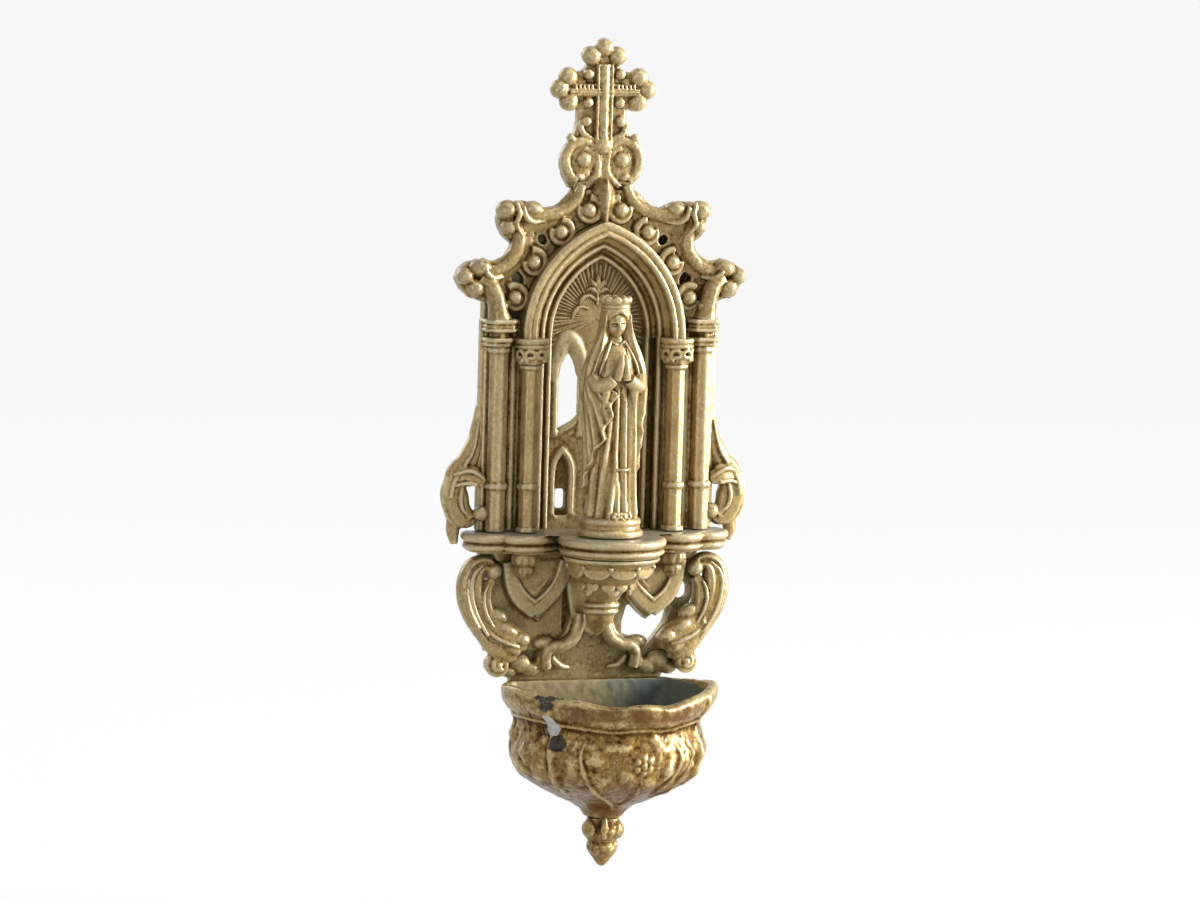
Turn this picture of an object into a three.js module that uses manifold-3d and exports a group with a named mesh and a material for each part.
// Holy water stoup: a wall-hung gothic niche with a praying figure over a round water basin.
// Millimetres, +Z up. The wall is the plane Y = 0 and the front faces -Y. Z = 0 is the shelf top.
// A depth is a distance in front of the wall, so a point at depth d has Y = -d.

import * as THREE from "three";
import { mergeVertices } from "three/addons/utils/BufferGeometryUtils.js";
import Module from "manifold-3d";

const wasm = await Module();
wasm.setup();

// Clearances
const seatGap = 0.3;
const screwGap = 0.25;

// Back plate
const plateThickness = 4;
const webThickness = 1.4;
const plateLap = 11;
const lancetWidth = 9;
const lancetSpacing = 10;
const lancetSill = 34;
const lancetDrop = 4;
const lowerLancetSill = 5;
const lowerLancetHead = 29;

// Niche, arch and canopy
const nicheHalfWidth = 18;
const springHeight = 71;
const archCentreOffset = 12.5;
const archMouldWidth = 13.3;
const canopyThickness = 7;
const canopyRise = 12.4;
const lowerCrocketReach = 55.6;
const upperCrocketReach = 40.4;
const crocketBeadRadius = 3.4;
const spandrelBeadRadius = 2.9;
const gableSeatHeight = 53;
const gableSeatHalfWidth = 12.3;

// Cross finial
const finialThickness = 6;
const finialBackDepth = 1;
const crossHeight = 46.6;
const crossTopArm = 10.8;
const crossArmHalfLength = 11.6;
const crossBarWidth = 6.5;
const clusterBeadRadius = 3.2;
const lyreSwell = 3;

// Piers and columns
const pierRollRadius = 4.8;
const pierSpacing = 3.9;
const pierDepth = 11.2;
const pierRingHeight = 2.4;
const pierRingStep = 1.4;
const columnRadius = 3.6;
const columnDepth = 14.2;
const capitalHeight = 10.5;
const capitalRadius = 6.1;
const spigotRadius = 1.3;
const spigotLength = 2.6;
const footRingHeight = 17;

// Side scrolls
const sideScrollSpan = 14.6;
const sideScrollHeight = 46;
const sideScrollBack = 2;
const sideScrollDepth = 8;
const sideBallRadius = 2.8;

// Shelf, corbel and bosses
const shelfThickness = 7;
const shelfEndReach = 51.3;
const bowRadius = 19.8;
const corbelDrop = 31;
const corbelNeckRadius = 5.6;
const bossDrop = 10;
const bossRadius = 5.3;

// Apron
const apronDrop = 48;
const traceryThickness = 6.4;
const apronScrollReach = 52.9;
const apronScrollFront = 14;
const voluteRadius = 4;

// Basin and pendant
const basinAxisDepth = 26;
const basinRadius = 37.4;
const basinWall = 4;
const basinDepth = 47.5;
const basinBandHeight = 9;
const basinFloor = 14;
const rimWave = 1.8;
const earReach = 3.2;
const pendantLength = 18.2;
const pendantRadius = 7.8;

// Statue
const plinthRadius = 12;
const plinthHeight = 7.2;
const statueDepth = 28;
const figureHeight = 81;
const robeHalfWidth = 9.2;

// Screws, pin and stud
const screwRadius = 1.4;
const screwHeadRadius = 2.8;
const screwHeadDepth = 1.8;
const slotWidth = 0.8;
const pinRadius = 1.5;

// Derived places
const plateFront = plateThickness + seatGap;
const shelfUnder = -shelfThickness;
const rimLevel = shelfUnder - apronDrop;
const traceryFront = plateFront + traceryThickness;
const columnOffset = nicheHalfWidth + 0.77 * archMouldWidth;
const pierOffset = nicheHalfWidth + archMouldWidth + pierSpacing + pierRollRadius;
const pierEdge = pierOffset + pierRollRadius;
const archFrontDepth = columnDepth + 2.8;
const archOuterRadius = nicheHalfWidth + archMouldWidth + archCentreOffset;
const canopyFoot = springHeight + canopyRise;
const canopyFront = plateFront + canopyThickness;
const finialSeat = springHeight + gableSeatHeight;
const finialFront = finialBackDepth + finialThickness;
const finialPinDepth = (plateFront + finialFront) / 2;
const basinBackHalfWidth = Math.sqrt(basinRadius ** 2 - (basinAxisDepth - plateFront) ** 2);

// Finishes
const giltPaint = { color: 0xa98f52, roughness: 0.42, metalness: 0.75 };
const paleGilt = { color: 0xb9a468, roughness: 0.4, metalness: 0.75 };
const brownGilt = { color: 0x87693a, roughness: 0.5, metalness: 0.7 };
const steel = { color: 0x8a8a88, roughness: 0.45, metalness: 1 };

const stoup = new THREE.Group();
const rightHand = new THREE.Group();
const leftHand = new THREE.Group();
leftHand.scale.x = -1;
stoup.add(rightHand, leftHand);

// Geometry to solids and back, and the named meshes

function solidOf(geometry) {
  const bare = geometry.clone();
  bare.deleteAttribute("normal");
  bare.deleteAttribute("uv");
  const merged = mergeVertices(bare, 1e-4);
  const corners = merged.index.array;
  const kept = [];
  for (let i = 0; i < corners.length; i += 3) {
    const [a, b, c] = [corners[i], corners[i + 1], corners[i + 2]];
    if (a !== b && b !== c && c !== a) {
      kept.push(a, b, c);
    }
  }
  return new wasm.Manifold(new wasm.Mesh({
    numProp: 3,
    vertProperties: Float32Array.from(merged.attributes.position.array),
    triVerts: Uint32Array.from(kept),
  }));
}

function geometryOf(solid) {
  const mesh = solid.getMesh();
  const geometry = new THREE.BufferGeometry();
  geometry.setAttribute("position", new THREE.BufferAttribute(mesh.vertProperties, 3));
  geometry.setIndex(new THREE.BufferAttribute(mesh.triVerts, 1));
  geometry.computeVertexNormals();
  return geometry;
}

function join(...solids) {
  return solids.flat().reduce((whole, next) => whole.add(next));
}

function cut(solid, ...tools) {
  return tools.flat().reduce((whole, next) => whole.subtract(next), solid);
}

function addPiece(name, solid, finish, place = [0, 0, 0], parent = stoup) {
  const mesh = new THREE.Mesh(geometryOf(solid), new THREE.MeshStandardMaterial(finish));
  mesh.name = name;
  mesh.position.set(...place);
  parent.add(mesh);
}

function addPair(name, solid, finish, place = [0, 0, 0]) {
  addPiece(`right_${name}`, solid, finish, place, rightHand);
  addPiece(`left_${name}`, solid, finish, place, leftHand);
}

// What lies in front of a depth, above a height or below a height
const inFrontOf = (solid, depth) => solid.trimByPlane([0, -1, 0], depth);
const above = (solid, height) => solid.trimByPlane([0, 0, 1], height);
const below = (solid, height) => solid.trimByPlane([0, 0, -1], -height);
const bothSides = (solid) => join(solid, solid.mirror([1, 0, 0]));

// A front-facing plate with its outline in X and Z, its front edge softened by a bevel
function plate(shape, back, front, bevel = 0, curveSegments = 5) {
  const geometry = new THREE.ExtrudeGeometry(shape, {
    depth: front - back,
    bevelEnabled: bevel > 0,
    bevelThickness: bevel,
    bevelSize: bevel,
    bevelOffset: -bevel,
    bevelSegments: 1,
    curveSegments,
  });
  geometry.translate(0, 0, back - bevel);
  geometry.rotateX(Math.PI / 2);
  return bevel > 0 ? inFrontOf(solidOf(geometry), back) : solidOf(geometry);
}

function block(lowX, highX, back, front, bottom, top) {
  const geometry = new THREE.BoxGeometry(highX - lowX, front - back, top - bottom);
  geometry.translate((lowX + highX) / 2, -(back + front) / 2, (bottom + top) / 2);
  return solidOf(geometry);
}

function post(x, depth, radius, bottom, top, sides = 10) {
  const geometry = new THREE.CylinderGeometry(radius, radius, top - bottom, sides);
  geometry.rotateX(Math.PI / 2);
  geometry.translate(x, -depth, (bottom + top) / 2);
  return solidOf(geometry);
}

function rod(x, height, radius, back, front, sides = 12) {
  const geometry = new THREE.CylinderGeometry(radius, radius, front - back, sides);
  geometry.translate(x, -(back + front) / 2, height);
  return solidOf(geometry);
}

function ball(x, depth, height, radius, squash = [1, 1, 1]) {
  const geometry = new THREE.OctahedronGeometry(radius, 2);
  geometry.scale(...squash);
  geometry.translate(x, -depth, height);
  return solidOf(geometry);
}

function bead(x, depth, height, radius) {
  const geometry = new THREE.OctahedronGeometry(radius, 1);
  geometry.translate(x, -depth, height);
  return solidOf(geometry);
}

// A turned piece about the Z axis from [radius, height] pairs that start and end on the axis
function turned(profile, sides) {
  const points = profile.map(([radius, height]) => new THREE.Vector2(radius, height));
  const geometry = new THREE.LatheGeometry(points, sides);
  geometry.rotateX(Math.PI / 2);
  return solidOf(geometry);
}

// A tapered round limb between two [x, depth, height] places
function limb(from, fromRadius, to, toRadius, sides = 6) {
  const start = new THREE.Vector3(from[0], -from[1], from[2]);
  const end = new THREE.Vector3(to[0], -to[1], to[2]);
  const length = start.distanceTo(end);
  const geometry = new THREE.CylinderGeometry(toRadius, fromRadius, length, sides);
  geometry.translate(0, length / 2, 0);
  const upright = new THREE.Vector3(0, 1, 0);
  const heading = end.clone().sub(start).normalize();
  geometry.applyQuaternion(new THREE.Quaternion().setFromUnitVectors(upright, heading));
  geometry.translate(start.x, start.y, start.z);
  return solidOf(geometry);
}

// A closed skin through rings of equal point counts, with its two ends capped
function loft(rings) {
  const count = rings[0].length;
  const points = rings.flat();
  const faces = [];
  for (let i = 0; i + 1 < rings.length; i += 1) {
    for (let j = 0; j < count; j += 1) {
      const a = i * count + j;
      const b = i * count + ((j + 1) % count);
      faces.push([a, b, b + count], [a, b + count, a + count]);
    }
  }
  faces.push(...endCap(rings[0], 0).map(([a, b, c]) => [c, b, a]));
  faces.push(...endCap(rings.at(-1), points.length - count));
  const sixfold = ([a, b, c]) => points[a].dot(points[b].clone().cross(points[c]));
  const volume = faces.reduce((sum, face) => sum + sixfold(face), 0);
  const outward = volume < 0 ? faces.map(([a, b, c]) => [a, c, b]) : faces;
  const geometry = new THREE.BufferGeometry().setFromPoints(points);
  geometry.setIndex(outward.flat());
  return solidOf(geometry);
}

function endCap(ring, offset) {
  const normal = new THREE.Vector3();
  ring.forEach((point, i) => {
    normal.add(point.clone().cross(ring[(i + 1) % ring.length]));
  });
  normal.normalize();
  const across = ring[1].clone().sub(ring[0]).projectOnPlane(normal).normalize();
  const up = normal.clone().cross(across);
  const flat = ring.map((point) => new THREE.Vector2(point.dot(across), point.dot(up)));
  return THREE.ShapeUtils.triangulateShape(flat, []).map((face) => face.map((corner) => corner + offset));
}

// A ring of points about an upright axis, from a reach for each angle
function ringAbout(sides, x, depth, height, reachAt) {
  const ring = [];
  for (let j = 0; j < sides; j += 1) {
    const angle = (j / sides) * 2 * Math.PI;
    const [across, forward] = reachAt(angle, j);
    ring.push(new THREE.Vector3(x + across * Math.cos(angle), -depth + forward * Math.sin(angle), height));
  }
  return ring;
}

// A reach for a fluted ring, longer at every other point
function lobedReach(radius, lobe) {
  return (angle, j) => {
    const reach = radius + lobe * (j % 2 === 0 ? 1 : -1);
    return [reach, reach];
  };
}

// A scroll or leaf in the wall's plane: stations of [x, height, half width, mid depth, half thickness]
function scroll(stations, { grow = 0, steps = 12, sides = 8 } = {}) {
  const route = new THREE.CatmullRomCurve3(stations.map(([x, z, width]) => new THREE.Vector3(x, z, width)));
  const bulk = new THREE.CatmullRomCurve3(stations.map(([, , , mid, half]) => new THREE.Vector3(mid, half, 0)));
  const rings = [];
  for (let i = 0; i <= steps; i += 1) {
    const at = route.getPoint(i / steps);
    const along = route.getTangent(i / steps);
    const side = new THREE.Vector2(-along.y, along.x).normalize();
    const section = bulk.getPoint(i / steps);
    const ring = [];
    for (let j = 0; j < sides; j += 1) {
      const angle = (j / sides) * 2 * Math.PI;
      const out = Math.cos(angle) * (at.z + grow);
      const depth = section.x + Math.sin(angle) * (section.y + grow);
      ring.push(new THREE.Vector3(at.x + side.x * out, -depth, at.y + side.y * out));
    }
    rings.push(ring);
  }
  return loft(rings);
}

// A symmetric outline drawn from its right half, bottom to top
function mirroredShape(drawRightHalf, divisions = 3) {
  const half = new THREE.Path();
  drawRightHalf(half);
  const right = half.getPoints(divisions);
  const left = right.map((point) => new THREE.Vector2(-point.x, point.y)).reverse();
  const points = [...right, ...left];
  return new THREE.Shape(points.filter((point, i) => i === 0 || point.distanceTo(points[i - 1]) > 1e-3));
}

// Screws: the head is countersunk, and its hole is the same shape with a clearance

function screwProfile(length, grow) {
  const face = grow > 0 ? -seatGap : seatGap;
  return [
    [0, face],
    [screwHeadRadius + 3 * grow, face],
    [screwRadius + grow, seatGap + screwHeadDepth + grow],
    [screwRadius + grow, length + grow],
    [0, length + grow],
  ];
}

function wallScrew({ x, height, length }, grow = 0) {
  return turned(screwProfile(length, grow), 8).rotate([90, 0, 0]).translate([x, 0, height]);
}

function slottedScrew(screw) {
  const reach = screwHeadRadius + 1;
  const half = slotWidth / 2;
  const slot = block(screw.x - reach, screw.x + reach, -1, 0.9, screw.height - half, screw.height + half);
  return cut(wallScrew(screw), slot);
}

const screwHole = (screw) => wallScrew(screw, screwGap);
const canopyScrew = { x: pierOffset - 2.2, height: canopyFoot + 4, length: plateFront + 5 };
const pierScrew = { x: pierOffset, height: springHeight / 2, length: plateFront + 7 };
const shelfScrew = { x: columnOffset - 12, height: shelfUnder / 2, length: plateFront + 9 };
const basinScrewLength = plateFront + basinWall - 0.8;
const basinScrew = { x: basinBackHalfWidth - 10.5, height: rimLevel - plateLap / 2, length: basinScrewLength };
const corbelScrew = { x: 0, height: shelfUnder - corbelDrop * 0.3, length: traceryFront + seatGap + 7 };

// Pointed arch: the right half turns about a centre left of the middle, and every roll runs to the apex

function archPoint(radius, share, side) {
  const turn = share * Math.acos(archCentreOffset / radius);
  const x = radius * Math.cos(turn) - archCentreOffset;
  return new THREE.Vector2(side * Math.max(x, 0), springHeight + radius * Math.sin(turn));
}

// Places on the arch from its right foot over the apex to its left foot
function archStations(steps) {
  const shares = Array.from({ length: steps + 1 }, (_, i) => i / steps);
  const right = shares.map((share) => [share, 1]);
  const left = shares.slice(0, -1).reverse().map((share) => [share, -1]);
  return [...right, ...left];
}

function archOutline(radius) {
  return new THREE.Shape(archStations(7).map(([share, side]) => archPoint(radius, share, side)));
}

// A place on the spandrel, given as a distance outside the arch and an angle up from its springing
function spandrelPlace(outside, degrees) {
  const angle = THREE.MathUtils.degToRad(degrees);
  const radius = archOuterRadius + outside;
  return [radius * Math.cos(angle) - archCentreOffset, springHeight + radius * Math.sin(angle)];
}

// Spandrel holes, pierced through the canopy and the plate behind it
function spandrelHoles() {
  return [[6.2, 44.4, 2.1, 1.7], [5.8, 25.1, 3.2, 2]].map(([outside, degrees, halfWidth, halfHeight]) => {
    const [x, height] = spandrelPlace(outside, degrees);
    const shape = new THREE.Shape();
    shape.absellipse(x, height, halfWidth, halfHeight, 0, 2 * Math.PI, false, 0.9);
    return plate(shape, -1, canopyFront + 8, 0, 5);
  });
}

// Back plate: niche ground with lancets, and apron ground

function lancet(middle, sill, head, width) {
  const half = width / 2;
  const shoulder = head - width * 1.1;
  const shape = new THREE.Shape();
  shape.moveTo(middle - half, sill);
  shape.lineTo(middle + half, sill);
  shape.lineTo(middle + half, shoulder);
  shape.quadraticCurveTo(middle + half, head - width * 0.4, middle, head);
  shape.quadraticCurveTo(middle - half, head - width * 0.4, middle - half, shoulder);
  return shape;
}

// A height and a reach in the apron, which keeps its pattern when its drop or its scrolls change
const apronLevel = (drop) => shelfUnder - drop * (apronDrop / 48);
const apronAcross = (reach) => reach * (apronScrollReach / 52.9);

function plateOutline(path) {
  const lap = basinBackHalfWidth - 1;
  path.moveTo(0, rimLevel - plateLap);
  path.lineTo(lap, rimLevel - plateLap);
  path.lineTo(lap, rimLevel + 1);
  path.lineTo(apronAcross(34.5), rimLevel + 3);
  path.quadraticCurveTo(apronAcross(35), apronLevel(28), apronAcross(42), apronLevel(16));
  path.lineTo(apronAcross(42.5), shelfUnder);
  path.lineTo(pierOffset + 3.5, 0);
  path.lineTo(pierOffset + 3.5, canopyFoot + 1);
  path.lineTo(pierOffset - 6, springHeight + 26);
  path.lineTo(31, springHeight + 34);
  path.lineTo(20, springHeight + 43);
  path.lineTo(gableSeatHalfWidth - 2, finialSeat - 2);
  path.lineTo(0, finialSeat - 2);
}

// Apron openings: pierced on the right, closed by a thin web on the left
function apronOpenings() {
  const eye = new THREE.Shape();
  eye.absellipse(apronAcross(36), apronLevel(16), 3, 3.6, 0, 2 * Math.PI, false, 0.2);
  const field = new THREE.Shape();
  field.moveTo(apronAcross(13.5), apronLevel(27));
  field.lineTo(apronAcross(15.5), apronLevel(20.5));
  field.lineTo(apronAcross(20.8), apronLevel(25.5));
  field.lineTo(apronAcross(31.5), apronLevel(21.5));
  field.lineTo(apronAcross(30), apronLevel(28));
  field.lineTo(apronAcross(22.6), apronLevel(37.5));
  field.quadraticCurveTo(apronAcross(19), apronLevel(33), apronAcross(13.5), apronLevel(32));
  return [eye, field];
}

function backPlate() {
  const ground = plate(mirroredShape(plateOutline), 0, plateThickness);
  const through = (shape) => plate(shape, -1, plateThickness + 1);
  const sunk = (shape) => plate(shape, webThickness, plateThickness + 1);
  const upper = lancet(lancetSpacing, lancetSill, springHeight - lancetDrop, lancetWidth);
  const lower = lancet(lancetSpacing + 1.6, lowerLancetSill, lowerLancetHead, lancetWidth * 0.72);
  const slit = lancet(lancetSpacing + 1.4, lowerLancetSill + 2.4, lowerLancetSill + 12, lancetWidth * 0.36);
  const screwHoles = [canopyScrew, pierScrew, shelfScrew, basinScrew].map(screwHole);
  const paired = [through(upper), sunk(lower), through(slit), ...spandrelHoles(), ...screwHoles];
  const rightApron = apronOpenings().map(through);
  const leftApron = apronOpenings().map((shape) => sunk(shape).mirror([1, 0, 0]));
  return cut(ground, paired.map(bothSides), rightApron, leftApron, screwHole(corbelScrew));
}

// Canopy: the stepped gable with two concave sweeps a side, each ending in a crocket of three beads

function canopyOutline(path) {
  const foot = canopyFoot;
  const low = lowerCrocketReach;
  const high = upperCrocketReach;
  const seat = gableSeatHalfWidth;
  path.moveTo(0, foot);
  path.lineTo(pierOffset + 5.4, foot);
  path.quadraticCurveTo(low - 2.4, foot + 1.6, low, foot + 8.4);
  path.quadraticCurveTo(low - 0.6, foot + 14.6, low - 8.6, foot + 15.4);
  path.quadraticCurveTo(pierOffset - 3, foot + 12, high - 6, foot + 20.8);
  path.quadraticCurveTo(high - 0.6, foot + 24, high, foot + 30);
  path.quadraticCurveTo(high - 0.4, foot + 37, high - 10, foot + 36.6);
  path.quadraticCurveTo(high - 16, foot + 35.4, high - 20, foot + 33);
  path.quadraticCurveTo(seat + 1.5, foot + 33, seat, finialSeat);
  path.lineTo(0, finialSeat);
}

function crocketBeads() {
  const foot = canopyFoot;
  const places = [
    [lowerCrocketReach - 3.2, foot + 9.6],
    [lowerCrocketReach - 9.8, foot + 12.8],
    [lowerCrocketReach - 6, foot + 4.4],
    [upperCrocketReach - 3.8, foot + 33.6],
    [upperCrocketReach - 13.8, foot + 33.4],
    [upperCrocketReach - 4.6, foot + 26],
  ];
  return places.map(([x, height]) => bead(x, canopyFront - 0.6, height, crocketBeadRadius));
}

function rakeRibs() {
  const foot = canopyFoot;
  const seat = gableSeatHalfWidth;
  const ribs = [
    [[pierOffset + 5.4, 13.6], [pierOffset + 0.4, 13.8], [pierOffset - 4.2, 16.8], [upperCrocketReach - 7.6, 21.4]],
    [[upperCrocketReach - 17, 33], [seat + 7, 32.2], [seat + 2, 34], [seat - 1, 39]],
  ];
  return ribs.map((places) => {
    const ribRadius = (i) => (i < 3 ? 1.8 : 1.2);
    const stations = places.map(([x, rise], i) => [x, foot + rise, ribRadius(i), canopyFront, ribRadius(i)]);
    return scroll(stations, { steps: 5, sides: 5 });
  });
}

function keystone() {
  const shape = new THREE.Shape();
  shape.moveTo(-5, finialSeat - 4);
  shape.lineTo(5, finialSeat - 4);
  shape.lineTo(0, finialSeat + 3.7);
  const back = Math.max(finialFront, plateFront) + seatGap;
  return plate(shape, back, canopyFront + 1.6, 1);
}

function canopy() {
  const sheet = plate(mirroredShape(canopyOutline), plateFront, canopyFront, 1.2);
  const spandrelBeads = [[5.9, 67.7], [3.6, 53.3], [4.3, 34.8], [4.3, 17.5]].map(([outside, degrees]) => {
    const [x, height] = spandrelPlace(outside, degrees);
    return bead(x, canopyFront + 0.4, height, spandrelBeadRadius);
  });
  const ornament = [...crocketBeads(), ...spandrelBeads, ...rakeRibs()].map(bothSides);
  const carved = join(sheet, keystone(), ornament);
  const seated = above(inFrontOf(carved, plateFront), canopyFoot);
  const archRoom = plate(archOutline(archOuterRadius + seatGap), -1, archFrontDepth + 9);
  const pinRoom = post(0, finialPinDepth, pinRadius + screwGap, finialSeat - 7, finialSeat + 1);
  const drilled = [...spandrelHoles(), screwHole(canopyScrew)].map(bothSides);
  return cut(seated, archRoom, drilled, pinRoom);
}

// Arch moulding: three rolls, stepping forward from the niche to the column
// The section is in shares of the moulding's width and lead, from the niche edge to the outer edge

function archMoulding() {
  const lead = archFrontDepth - plateFront;
  const section = [
    [0, 0], [0, 0.16], [0.05, 0.3], [0.17, 0.35], [0.27, 0.32], [0.31, 0.45], [0.38, 0.6], [0.49, 0.63],
    [0.57, 0.57], [0.6, 0.78], [0.68, 0.96], [0.77, 1], [0.87, 0.95], [0.95, 0.76], [1, 0.56], [1, 0],
  ];
  const inner = nicheHalfWidth + archCentreOffset;
  const rings = archStations(7).map(([share, side]) => section.map(([across, forward]) => {
    const at = archPoint(inner + across * archMouldWidth, share, side);
    return new THREE.Vector3(at.x, -(plateFront + forward * lead), at.y);
  }));
  const socketTop = springHeight + spigotLength + screwGap;
  const socket = post(columnOffset, columnDepth, spigotRadius + screwGap, springHeight - 1, socketTop, 8);
  return cut(loft(rings), bothSides(socket));
}

// Cross finial: a lyre-scroll foot, a ribbed Latin cross and three clusters of three beads

function finialOutline(path) {
  const seat = finialSeat + seatGap;
  const arm = finialSeat + crossHeight - crossTopArm;
  const top = finialSeat + crossHeight;
  const swell = gableSeatHalfWidth + lyreSwell;
  path.moveTo(0, seat);
  path.lineTo(gableSeatHalfWidth - 0.5, seat);
  path.quadraticCurveTo(swell + 0.5, finialSeat + 6.4, swell, finialSeat + 11);
  path.quadraticCurveTo(swell - 0.4, finialSeat + 15, 11, finialSeat + 18.4);
  path.quadraticCurveTo(8.6, finialSeat + 24, 9.3, arm - 6.6);
  path.quadraticCurveTo(12, arm - 6, crossArmHalfLength + 4, arm - 3.5);
  path.lineTo(crossArmHalfLength + 4, arm + 3.5);
  path.quadraticCurveTo(11.4, arm + 7.4, 7.6, arm + 7);
  path.quadraticCurveTo(5.6, arm + 9, 4.5, top + 2.6);
  path.lineTo(0, top + 4.4);
}

function crossFinial() {
  const front = finialFront;
  const top = finialSeat + crossHeight;
  const arm = top - crossTopArm;
  const half = crossBarWidth / 2;
  const sheet = plate(mirroredShape(finialOutline), finialBackDepth, front, 1);
  const shaft = block(-half, half, front - 1, front + 1.6, finialSeat + 14, top);
  const rib = block(-half * 0.5, half * 0.5, front, front + 2.6, finialSeat + 15.5, top - 1.5);
  const bar = block(-crossArmHalfLength, crossArmHalfLength, front - 1, front + 2, arm - 2.2, arm + 2.2);
  const reach = crossArmHalfLength;
  const clusterPlaces = [
    [0, top + 5.3], [5.4, top + 2.3], [reach + 5.2, arm], [reach + 1.6, arm + 5.1], [reach + 0.6, arm - 4.6],
  ];
  const clusterDepth = (finialBackDepth + front) / 2 + 0.4;
  const clusters = clusterPlaces.map(([x, height]) => bead(x, clusterDepth, height, clusterBeadRadius));
  const smallPlaces = [[6.3, 6], [6.4, -4.4], [6.6, -11.6]];
  const smallBeads = smallPlaces.map(([x, rise]) => bead(x, front + 0.3, arm + rise, 1.9));
  const lyre = scroll([
    [gableSeatHalfWidth - 3, finialSeat + 2.5, 1.4, front, 1.4],
    [gableSeatHalfWidth + 0.6, finialSeat + 9.5, 1.7, front, 1.8],
    [gableSeatHalfWidth - 2.4, finialSeat + 15, 1.7, front, 1.8],
    [7, finialSeat + 15.2, 1.3, front, 1.3],
  ], { steps: 5, sides: 6 });
  const eye = bead(7.5, front + 0.4, finialSeat + 10.3, 2.8);
  const ornament = [...clusters, ...smallBeads, lyre, eye].map(bothSides);
  const carved = above(join(sheet, shaft, rib, bar, ornament), finialSeat + seatGap);
  return cut(carved, post(0, finialPinDepth, pinRadius + screwGap, finialSeat - 1, finialSeat + 7));
}

// Piers: an outer roll on a web with its rings, and jamb rolls beside the niche

function pierBody(grow = 0) {
  const low = seatGap - grow;
  const shoulder = springHeight - seatGap + grow;
  const top = canopyFoot - seatGap + grow;
  const back = plateFront - grow;
  const web = pierOffset - pierRollRadius - 1.4;
  const outerWeb = block(web - grow, pierOffset + 4 + grow, back, pierDepth, low, top);
  const jamb = block(nicheHalfWidth - grow, pierOffset, back, plateFront + 3 + grow, low, shoulder);
  const nicheRoll = post(nicheHalfWidth + 2.2, plateFront + 3, 2.2 + grow, low, shoulder, 8);
  const sideRoll = post(web, pierDepth - 2.6, 1.6 + grow, low, top, 8);
  const roll = post(pierOffset, pierDepth, pierRollRadius + grow, low, top);
  const ringHeights = [footRingHeight, springHeight - 3.4, springHeight + 0.6, springHeight + 4.6];
  const rings = ringHeights.map((height) => {
    const half = pierRingHeight / 2 + grow;
    return post(pierOffset, pierDepth, pierRollRadius + pierRingStep + grow, height - half, height + half);
  });
  return inFrontOf(join(outerWeb, jamb, nicheRoll, sideRoll, roll, rings), back);
}

function pier() {
  const columnRoom = columnBody(seatGap).translate([columnOffset, -columnDepth, 0]);
  return cut(pierBody(), columnRoom, screwHole(pierScrew));
}

// Columns: a turned shaft with a foot ring, a lobed bell capital and a spigot at each end

function columnBody(grow = 0) {
  const top = springHeight - seatGap;
  const bell = top - capitalHeight;
  const shaft = columnRadius;
  const stations = [
    [-spigotLength, spigotRadius, 0], [seatGap, spigotRadius, 0], [seatGap, shaft + 1, 0], [2.2, shaft + 1, 0],
    [3.2, shaft, 0], [footRingHeight - 1.6, shaft, 0], [footRingHeight - 1, shaft + 0.7, 0],
    [footRingHeight + 1, shaft + 0.7, 0], [footRingHeight + 1.6, shaft, 0], [bell - 1.2, shaft, 0],
    [bell - 0.6, shaft + 0.8, 0], [bell + 0.6, shaft + 0.8, 0], [bell + 1.2, shaft, 0.2],
    [bell + 4.5, shaft + 0.9, 0.6], [bell + 7.6, capitalRadius - 0.5, 0.5], [bell + 8.3, capitalRadius, 0],
    [top, capitalRadius, 0], [top, spigotRadius, 0], [top + spigotLength, spigotRadius, 0],
  ];
  return loft(stations.map(([height, radius, lobe]) => ringAbout(10, 0, 0, height, lobedReach(radius + grow, lobe))));
}

// Side scrolls: an acanthus leaf that runs down the pier, swings out and curls back to a ball
// Stations are in shares of the scroll's span beyond the pier, and of its height

function sideScroll() {
  const across = (share) => pierEdge + share * sideScrollSpan;
  const up = (height) => height * (sideScrollHeight / 46);
  const mid = sideScrollBack + sideScrollDepth / 2;
  const half = sideScrollDepth / 2;
  const leaf = scroll([
    [across(0), up(46), 0.9, mid, half * 0.5],
    [across(0.1), up(36), 1.6, mid, half * 0.8],
    [across(0.28), up(27), 2.8, mid, half * 0.95],
    [across(0.56), up(20), 4, mid, half],
    [across(0.71), up(12.5), 4.2, mid, half],
    [across(0.6), up(5.6), 3.6, mid, half * 0.95],
    [across(0.32), up(2.8), 2.8, mid, half * 0.9],
    [across(0.08), up(4.4), 2, mid, half * 0.75],
  ], { steps: 11, sides: 6 });
  const curl = scroll([
    [across(0.6), up(22), 3.2, mid + 1, half * 0.8],
    [across(0.28), up(21.4), 3, mid + 1.4, half * 0.8],
    [across(0), up(18), 1.8, mid + 1.4, half * 0.6],
  ], { steps: 4, sides: 7 });
  const knob = bead(across(0.13), mid + 2, up(6.6), sideBallRadius);
  const foot = scroll([
    [across(0.55), up(5), 2.8, mid, half * 0.75],
    [across(0.58), up(0), 2.4, mid, half * 0.7],
    [across(0.55), up(-5), 1.4, mid, half * 0.5],
  ], { steps: 4, sides: 7 });
  const whole = inFrontOf(join(leaf, curl, knob, foot), sideScrollBack);
  const plateRoom = block(-1, pierOffset + 3.5 + seatGap, -1, plateFront, -20, springHeight);
  return cut(whole, pierBody(seatGap), shelfBody(seatGap), plateRoom);
}

// Shelf: lobes under the piers and the columns, a round bow for the figure, and a two-roll edge

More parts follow.
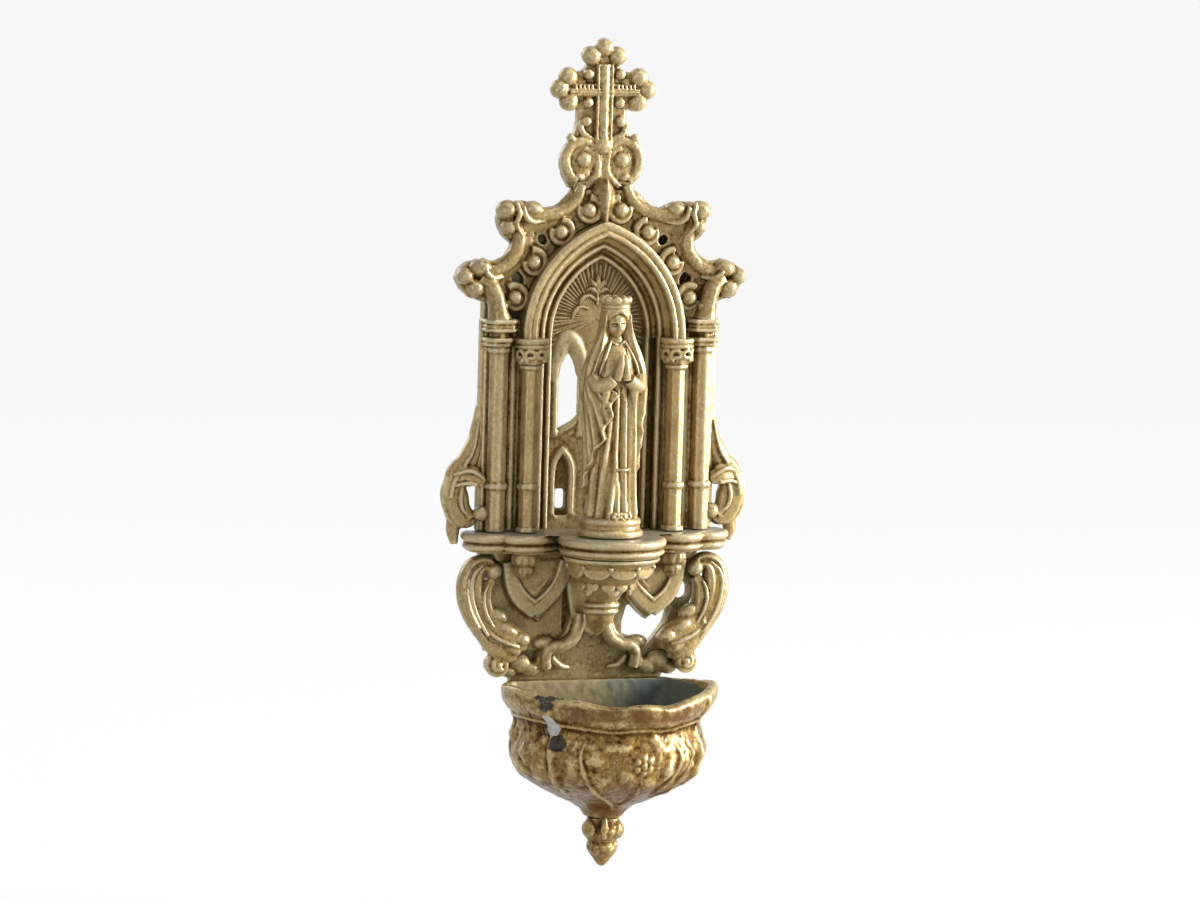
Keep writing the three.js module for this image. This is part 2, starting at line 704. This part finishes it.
function shelfReach(angle, inset) {
  const end = 10.3;
  const lobes = [
    [0, statueDepth - 0.5, bowRadius],
    [columnOffset + 0.6, columnDepth, 11],
    [-columnOffset - 0.6, columnDepth, 11],
    [shelfEndReach - end, 9.6, end],
    [end - shelfEndReach, 9.6, end],
  ];
  const [dx, dd] = [Math.cos(angle), Math.sin(angle)];
  const reaches = lobes.map(([x, depth, radius]) => {
    const along = x * dx + (depth - plateFront) * dd;
    const aside = x * dd - (depth - plateFront) * dx;
    const room = (radius - inset) ** 2 - aside ** 2;
    return room > 0 ? along + Math.sqrt(room) : 0;
  });
  return Math.max(...reaches, 12);
}

function shelfBody(grow = 0) {
  const edge = [[0, 0.8], [0.14, 0], [0.38, 0.1], [0.5, 1.3], [0.64, 0.6], [1, 1.8]];
  const samples = 34;
  return loft(edge.map(([share, inset], level) => {
    const lift = level === 0 ? grow : level === edge.length - 1 ? -grow : 0;
    const ring = [];
    for (let i = 0; i <= samples; i += 1) {
      const angle = (i / samples) * Math.PI;
      const reach = shelfReach(angle, inset - grow);
      const depth = plateFront - grow + reach * Math.sin(angle);
      ring.push(new THREE.Vector3(reach * Math.cos(angle), -depth, lift - share * shelfThickness));
    }
    return ring;
  }));
}

function statueScrew(grow = 0) {
  return turned(screwProfile(shelfThickness + 4.6, grow), 8).translate([0, -statueDepth, shelfUnder]);
}

function shelf() {
  const bore = spigotRadius + screwGap;
  const columnSocket = post(columnOffset, columnDepth, bore, -spigotLength - screwGap, 1, 8);
  const bossSocket = post(columnOffset, columnDepth, bore, shelfUnder - 1, shelfUnder + spigotLength + screwGap, 8);
  return cut(shelfBody(), [columnSocket, bossSocket, screwHole(shelfScrew)].map(bothSides), statueScrew(screwGap));
}

// Bosses: a gadrooned drop under each column, pegged into the shelf

function bossBody(grow = 0) {
  const top = shelfUnder - seatGap;
  const fall = (share) => top - share * bossDrop;
  const stations = [
    [top + spigotLength, spigotRadius, 0], [top, spigotRadius, 0], [top, bossRadius - 0.4, 0],
    [fall(0.12), bossRadius, 0.3], [fall(0.36), bossRadius - 0.3, 0.4], [fall(0.46), bossRadius - 1.9, 0.1],
    [fall(0.6), bossRadius - 1.7, 0.2], [fall(0.84), bossRadius - 3, 0.1], [fall(1), 0.8, 0],
  ];
  return loft(stations.map(([height, radius, lobe]) => (
    ringAbout(12, columnOffset, columnDepth, height, lobedReach(radius + grow, lobe)))));
}

// Corbel: a round leafy bracket that draws back to the apron as it falls to its neck rings and drop

function corbelBody(grow = 0) {
  const back = traceryFront + seatGap - grow;
  const top = shelfUnder - seatGap + grow;
  const bow = bowRadius;
  const neck = corbelNeckRadius;
  const axis = statueDepth - 0.5;
  const stations = [
    [0, bow - 2.2, axis, 0], [0.07, bow - 2.4, axis - 0.4, 0.2], [0.2, bow - 5.6, axis - 2, 0.6],
    [0.33, bow - 9.4, axis - 4, 0.5], [0.44, neck + 1.8, axis - 6.4, 0.2], [0.57, neck, axis - 9.4, 0],
    [0.6, neck + 1.2, axis - 9.8, 0], [0.67, neck + 1.2, axis - 10.2, 0], [0.7, neck, axis - 10.4, 0],
    [0.78, neck - 0.2, axis - 11, 0], [0.89, neck - 2.2, axis - 12.2, 0], [1, 0.8, axis - 13.4, 0],
  ];
  const height = (share) => top - share * corbelDrop;
  const bell = loft(stations.map(([share, radius, depth, lobe]) => (
    ringAbout(16, 0, depth, height(share), lobedReach(radius + grow, lobe)))));
  const spine = loft(stations.slice(0, -2).map(([share, radius, depth]) => {
    const half = radius * 0.55 + grow;
    return [[half, back], [half, depth], [-half, depth], [-half, back]]
      .map(([x, d]) => new THREE.Vector3(x, -d, height(share)));
  }));
  return inFrontOf(join(bell, spine), back);
}

// Apron tracery: V lambrequins, and ogee stems with legs below the corbel

function apronTracery() {
  const top = shelfUnder - seatGap;
  const strip = mirroredShape((path) => {
    path.moveTo(0, apronLevel(32));
    path.quadraticCurveTo(apronAcross(5), apronLevel(30), apronAcross(8), apronLevel(25));
    path.lineTo(apronAcross(11.6), apronLevel(4.6));
    path.lineTo(apronAcross(38.6), apronLevel(4.6));
    path.lineTo(apronAcross(38.6), top);
    path.lineTo(0, top);
  });
  const lambrequin = new THREE.Shape();
  lambrequin.moveTo(apronAcross(11.4), apronLevel(9));
  lambrequin.lineTo(apronAcross(13), apronLevel(18.5));
  lambrequin.lineTo(apronAcross(15.6), apronLevel(20.4));
  lambrequin.lineTo(apronAcross(20.8), apronLevel(26.2));
  lambrequin.lineTo(apronAcross(27.4), apronLevel(21));
  lambrequin.lineTo(apronAcross(31), apronLevel(20));
  lambrequin.lineTo(apronAcross(32.4), apronLevel(3));
  lambrequin.lineTo(apronAcross(12), apronLevel(3));
  const front = traceryFront;
  const sheet = plate(strip, plateFront, front, 0.8);
  const hanging = plate(lambrequin, plateFront, front + 0.6, 1);
  const chevron = scroll([
    [apronAcross(13.6), apronLevel(12), 1.2, front + 0.6, 1.3],
    [apronAcross(20.8), apronLevel(20.4), 1.2, front + 0.6, 1.3],
    [apronAcross(29.6), apronLevel(13), 1.2, front + 0.6, 1.3],
  ], { steps: 6, sides: 6 });
  const mid = plateFront + traceryThickness * 0.4;
  const half = traceryThickness * 0.5;
  const stem = scroll([
    [apronAcross(6), apronLevel(24), 2.6, mid, half],
    [apronAcross(8.4), apronLevel(31), 2.4, mid, half],
    [apronAcross(13.5), apronLevel(35.4), 2.2, mid, half],
    [apronAcross(18.4), apronLevel(37.6), 2, mid, half],
    [apronAcross(19.6), apronLevel(43.8), 1.6, mid, half * 0.8],
  ], { steps: 8, sides: 7 });
  const whole = join(sheet, [hanging, chevron, stem].map(bothSides));
  const seated = below(inFrontOf(whole, plateFront), top);
  const neighbours = [apronScrollBody(seatGap), bossBody(seatGap)].map(bothSides);
  return cut(seated, neighbours, corbelBody(seatGap), screwHole(corbelScrew));
}

// Apron scrolls: a C-scroll from a ball under the shelf to a volute on the basin, with a leaf turned inwards

function apronScrollBody(grow = 0) {
  const top = shelfUnder - seatGap;
  const out = (inset) => apronScrollReach - apronAcross(inset);
  const mid = (plateFront + apronScrollFront) / 2;
  const half = (apronScrollFront - plateFront) / 2;
  const eyeHeight = rimLevel + rimWave + voluteRadius + seatGap;
  const eyeOffset = out(16.4);
  const sweep = scroll([
    [out(15.4), apronLevel(6.4), 2.2, mid, half - 1.4],
    [out(11.4), apronLevel(4.2), 3, mid, half - 0.6],
    [out(6.4), apronLevel(7), 4, mid, half],
    [out(5.2), apronLevel(14), 5.2, mid, half],
    [out(7), apronLevel(22), 5.2, mid, half],
    [out(12.8), apronLevel(31), 4.2, mid, half],
    [out(16.8), apronLevel(38), 3, mid, half - 0.6],
    [out(17), eyeHeight, 2.4, mid, half - 1],
  ], { grow, steps: 11, sides: 7 });
  const leaf = scroll([
    [out(11.5), apronLevel(24.6), 3.4, mid + 0.4, half - 0.6],
    [out(17), apronLevel(29.8), 4.6, mid + 0.6, half - 0.4],
    [out(23), apronLevel(33.4), 4.2, mid + 0.6, half - 0.6],
    [out(29.4), apronLevel(37), 1.8, mid, half - 2],
  ], { grow, steps: 5, sides: 7 });
  const volute = rod(eyeOffset, eyeHeight, voluteRadius + grow, plateFront - grow, apronScrollFront - 1 + grow, 12);
  const knob = bead(out(16.2), mid + 1, apronLevel(7), 3 + grow);
  const eye = bead(eyeOffset, apronScrollFront - 1, eyeHeight, 1.9 + grow);
  return below(inFrontOf(join(sweep, leaf, volute, knob, eye), plateFront - grow), top + grow);
}

// Statue: plinth, robe, mantle, joined hands, veiled head and low crown

// Heights up the figure and reaches across it, which keep its pose when its height or its robe changes
const figureLevel = (height) => plinthHeight + height * (figureHeight / 81);
const girth = (reach) => reach * (robeHalfWidth / 9.2);

function bodyRings(stations, sides, folds) {
  return stations.map(([height, width, back, front, ripple]) => (
    ringAbout(sides, 0, 0, figureLevel(height), (angle) => {
      const wave = girth(1 + ripple * Math.cos(folds * angle));
      return [width * wave, (Math.sin(angle) > 0 ? back : front) * wave];
    })));
}

function crown() {
  const foot = figureLevel(73.2);
  const reach = girth(4.9);
  const top = foot + girth(3.2);
  const band = turned([[0, foot], [reach, foot], [girth(5.2), foot + girth(2.4)], [reach, top], [0, top]], 12);
  const lobeCount = 6;
  const lobes = Array.from({ length: lobeCount }, (_, i) => {
    const angle = (i / lobeCount) * 2 * Math.PI;
    const out = girth(4.6);
    return bead(out * Math.cos(angle), out * Math.sin(angle), foot + girth(4.8), girth(2.3));
  });
  const cap = bead(0, 0, foot + girth(2.4), girth(4.4));
  return join(band, cap, lobes);
}

function statue() {
  const rim = plinthRadius;
  const plinth = turned([
    [0, 0], [rim, 0], [rim, 1.8], [rim - 1, 2.8], [rim - 1, plinthHeight - 2], [rim - 0.3, plinthHeight - 1.2],
    [rim - 0.3, plinthHeight], [0, plinthHeight],
  ], 12);
  const robe = loft(bodyRings([
    [-0.6, 9.2, 8, 8.6, 0.07], [3, 9, 7.8, 8.2, 0.09], [14, 8.2, 7, 6.8, 0.1], [28, 7.8, 6.6, 6.4, 0.08],
    [40, 8, 6.4, 6.4, 0.05], [52, 8.2, 6.2, 6.2, 0.02], [59, 7.8, 5.8, 5.4, 0], [62.5, 5.4, 4.6, 4, 0],
    [65, 3, 3, 2.8, 0],
  ], 12, 6));
  const mantle = loft(bodyRings([
    [26, 8.4, 7.4, 2.4, 0.03], [34, 10, 7.8, 3, 0.05], [44, 10.8, 7.6, 3.2, 0.04], [54, 10.4, 7.2, 3.4, 0.02],
    [60, 8.6, 6.8, 3, 0], [64, 6.4, 6.4, 2.6, 0], [70, 5.8, 6.2, 2.4, 0], [75.4, 4.2, 4.6, 2, 0],
  ], 12, 6));
  const head = ball(0, girth(0.8), figureLevel(69.4), girth(4.5), [0.95, 1.02, 1.3]);
  const place = ([across, forward, height]) => [girth(across), girth(forward), figureLevel(height)];
  const arm = (from, fromRadius, to, toRadius) => limb(place(from), girth(fromRadius), place(to), girth(toRadius));
  const upperArm = arm([8.2, 0, 58], 3, [8.4, 2.6, 46], 3.3);
  const sleeve = arm([8, 2.4, 46], 3.4, [2.2, 7, 51], 2.6);
  const hand = arm([1.1, 7.4, 50], 1.8, [0.4, 8.8, 58], 0.8);
  const figure = join(plinth, robe, mantle, head, crown(), [upperArm, sleeve, hand].map(bothSides));
  return cut(figure, statueScrew(screwGap).translate([0, statueDepth, -seatGap]));
}

// Basin: a round bowl cut flat where it meets the back plate, with ears, a wavy rim and two front ridges

function basinRings(stations, sides) {
  const earTurn = 0.26;
  const ridgeTurn = 0.98;
  const ridgeSpread = 0.16;
  return stations.map(([drop, radius, swell]) => {
    const ring = [];
    for (let j = 0; j < sides; j += 1) {
      const angle = (j / sides) * 2 * Math.PI;
      const fromFront = Math.abs(angle - 1.5 * Math.PI);
      const turn = Math.min(fromFront, 2 * Math.PI - fromFront);
      const ear = Math.max(0, Math.cos(turn - (Math.PI / 2 - earTurn))) ** 10;
      const ridge = Math.max(0, 1 - Math.abs(turn - ridgeTurn) / ridgeSpread);
      const front = Math.max(0, Math.cos(turn)) ** 4;
      const reach = radius + swell * (earReach * ear + 1.2 * ridge + 1.2 * front);
      const height = rimLevel - drop + swell * rimWave * (ear - front);
      const [x, y] = [reach * Math.cos(angle), reach * Math.sin(angle)];
      ring.push(new THREE.Vector3(x, y - basinAxisDepth, height));
    }
    return ring;
  });
}

function basin() {
  const r = basinRadius;
  const band = basinBandHeight;
  const outer = loft(basinRings([
    [0, r - 1.4, 1], [0.9, r, 1], [band - 3, r - 0.8, 1], [band - 1, r - 2, 0.8], [band + 2.6, r - 4.4, 0.3],
    [basinDepth * 0.36, r - 3.4, 0.25], [basinDepth * 0.49, r - 2.8, 0.25], [basinDepth * 0.61, r - 4.4, 0.25],
    [basinDepth * 0.75, r - 11, 0.2], [basinDepth * 0.845, r - 19.6, 0.1], [basinDepth * 0.925, 9.4, 0],
    [basinDepth, 6.6, 0],
  ], 30));
  const floor = basinDepth - basinFloor;
  const inner = r - basinWall;
  const hollow = loft(basinRings([
    [-4, inner + 0.6, 0.6], [1, inner, 0.6], [band, inner - 2.2, 0.4], [floor * 0.55, inner - 3.4, 0.1],
    [floor * 0.8, inner - 7.4, 0], [floor * 0.94, inner - 14.4, 0], [floor, inner - 22, 0],
  ], 20));
  const bowl = cut(inFrontOf(outer, plateFront), inFrontOf(hollow, plateFront + basinWall));
  const foot = rimLevel - basinDepth;
  const studRoom = post(0, basinAxisDepth, pinRadius + screwGap, foot - 1, foot + 7);
  return cut(bowl, bothSides(screwHole(basinScrew)), studRoom);
}

// Pendant: two bulbs and a tip

function pendant() {
  const r = pendantRadius;
  const length = pendantLength;
  const whole = turned([
    [0, -length], [1.6, -length * 0.94], [2, -length * 0.84], [r * 0.46, -length * 0.76], [r * 0.72, -length * 0.64],
    [r * 0.68, -length * 0.52], [r * 0.66, -length * 0.46], [r * 0.96, -length * 0.34], [r, -length * 0.22],
    [r * 0.8, -length * 0.08], [r * 0.82, 0], [0, 0],
  ], 12);
  return cut(whole, post(0, 0, pinRadius + screwGap, -5.5, 1));
}

// The pieces, top to bottom
addPiece("back_plate", backPlate(), brownGilt);
addPiece("canopy", canopy(), giltPaint);
addPiece("arch_moulding", archMoulding(), giltPaint);
addPiece("cross_finial", crossFinial(), paleGilt);
addPair("pier", pier(), giltPaint);
addPair("column", columnBody(), paleGilt, [columnOffset, -columnDepth, 0]);
addPair("side_scroll", sideScroll(), paleGilt);
addPiece("shelf", shelf(), giltPaint);
addPiece("statue", statue(), giltPaint, [0, -statueDepth, seatGap]);
addPiece("corbel", cut(corbelBody(), screwHole(corbelScrew)), paleGilt);
addPair("shelf_boss", bossBody(), giltPaint);
addPiece("apron_tracery", apronTracery(), giltPaint);
addPair("apron_scroll", cut(apronScrollBody(), bossBody(seatGap)), paleGilt);
addPiece("basin", basin(), brownGilt);
addPiece("pendant", pendant(), brownGilt, [0, -basinAxisDepth, rimLevel - basinDepth - seatGap]);

// Fasteners
addPair("canopy_screw", slottedScrew(canopyScrew), steel);
addPair("pier_screw", slottedScrew(pierScrew), steel);
addPair("shelf_screw", slottedScrew(shelfScrew), steel);
addPair("basin_screw", slottedScrew(basinScrew), steel);
addPiece("corbel_screw", slottedScrew(corbelScrew), steel);
addPiece("statue_screw", statueScrew(), steel);
addPiece("finial_pin", post(0, finialPinDepth, pinRadius, finialSeat - 6.6, finialSeat + 6.6), steel);
const studFoot = rimLevel - basinDepth - seatGap - 5;
addPiece("pendant_stud", post(0, basinAxisDepth, pinRadius, studFoot, studFoot + 11.6), steel);

export default stoup;
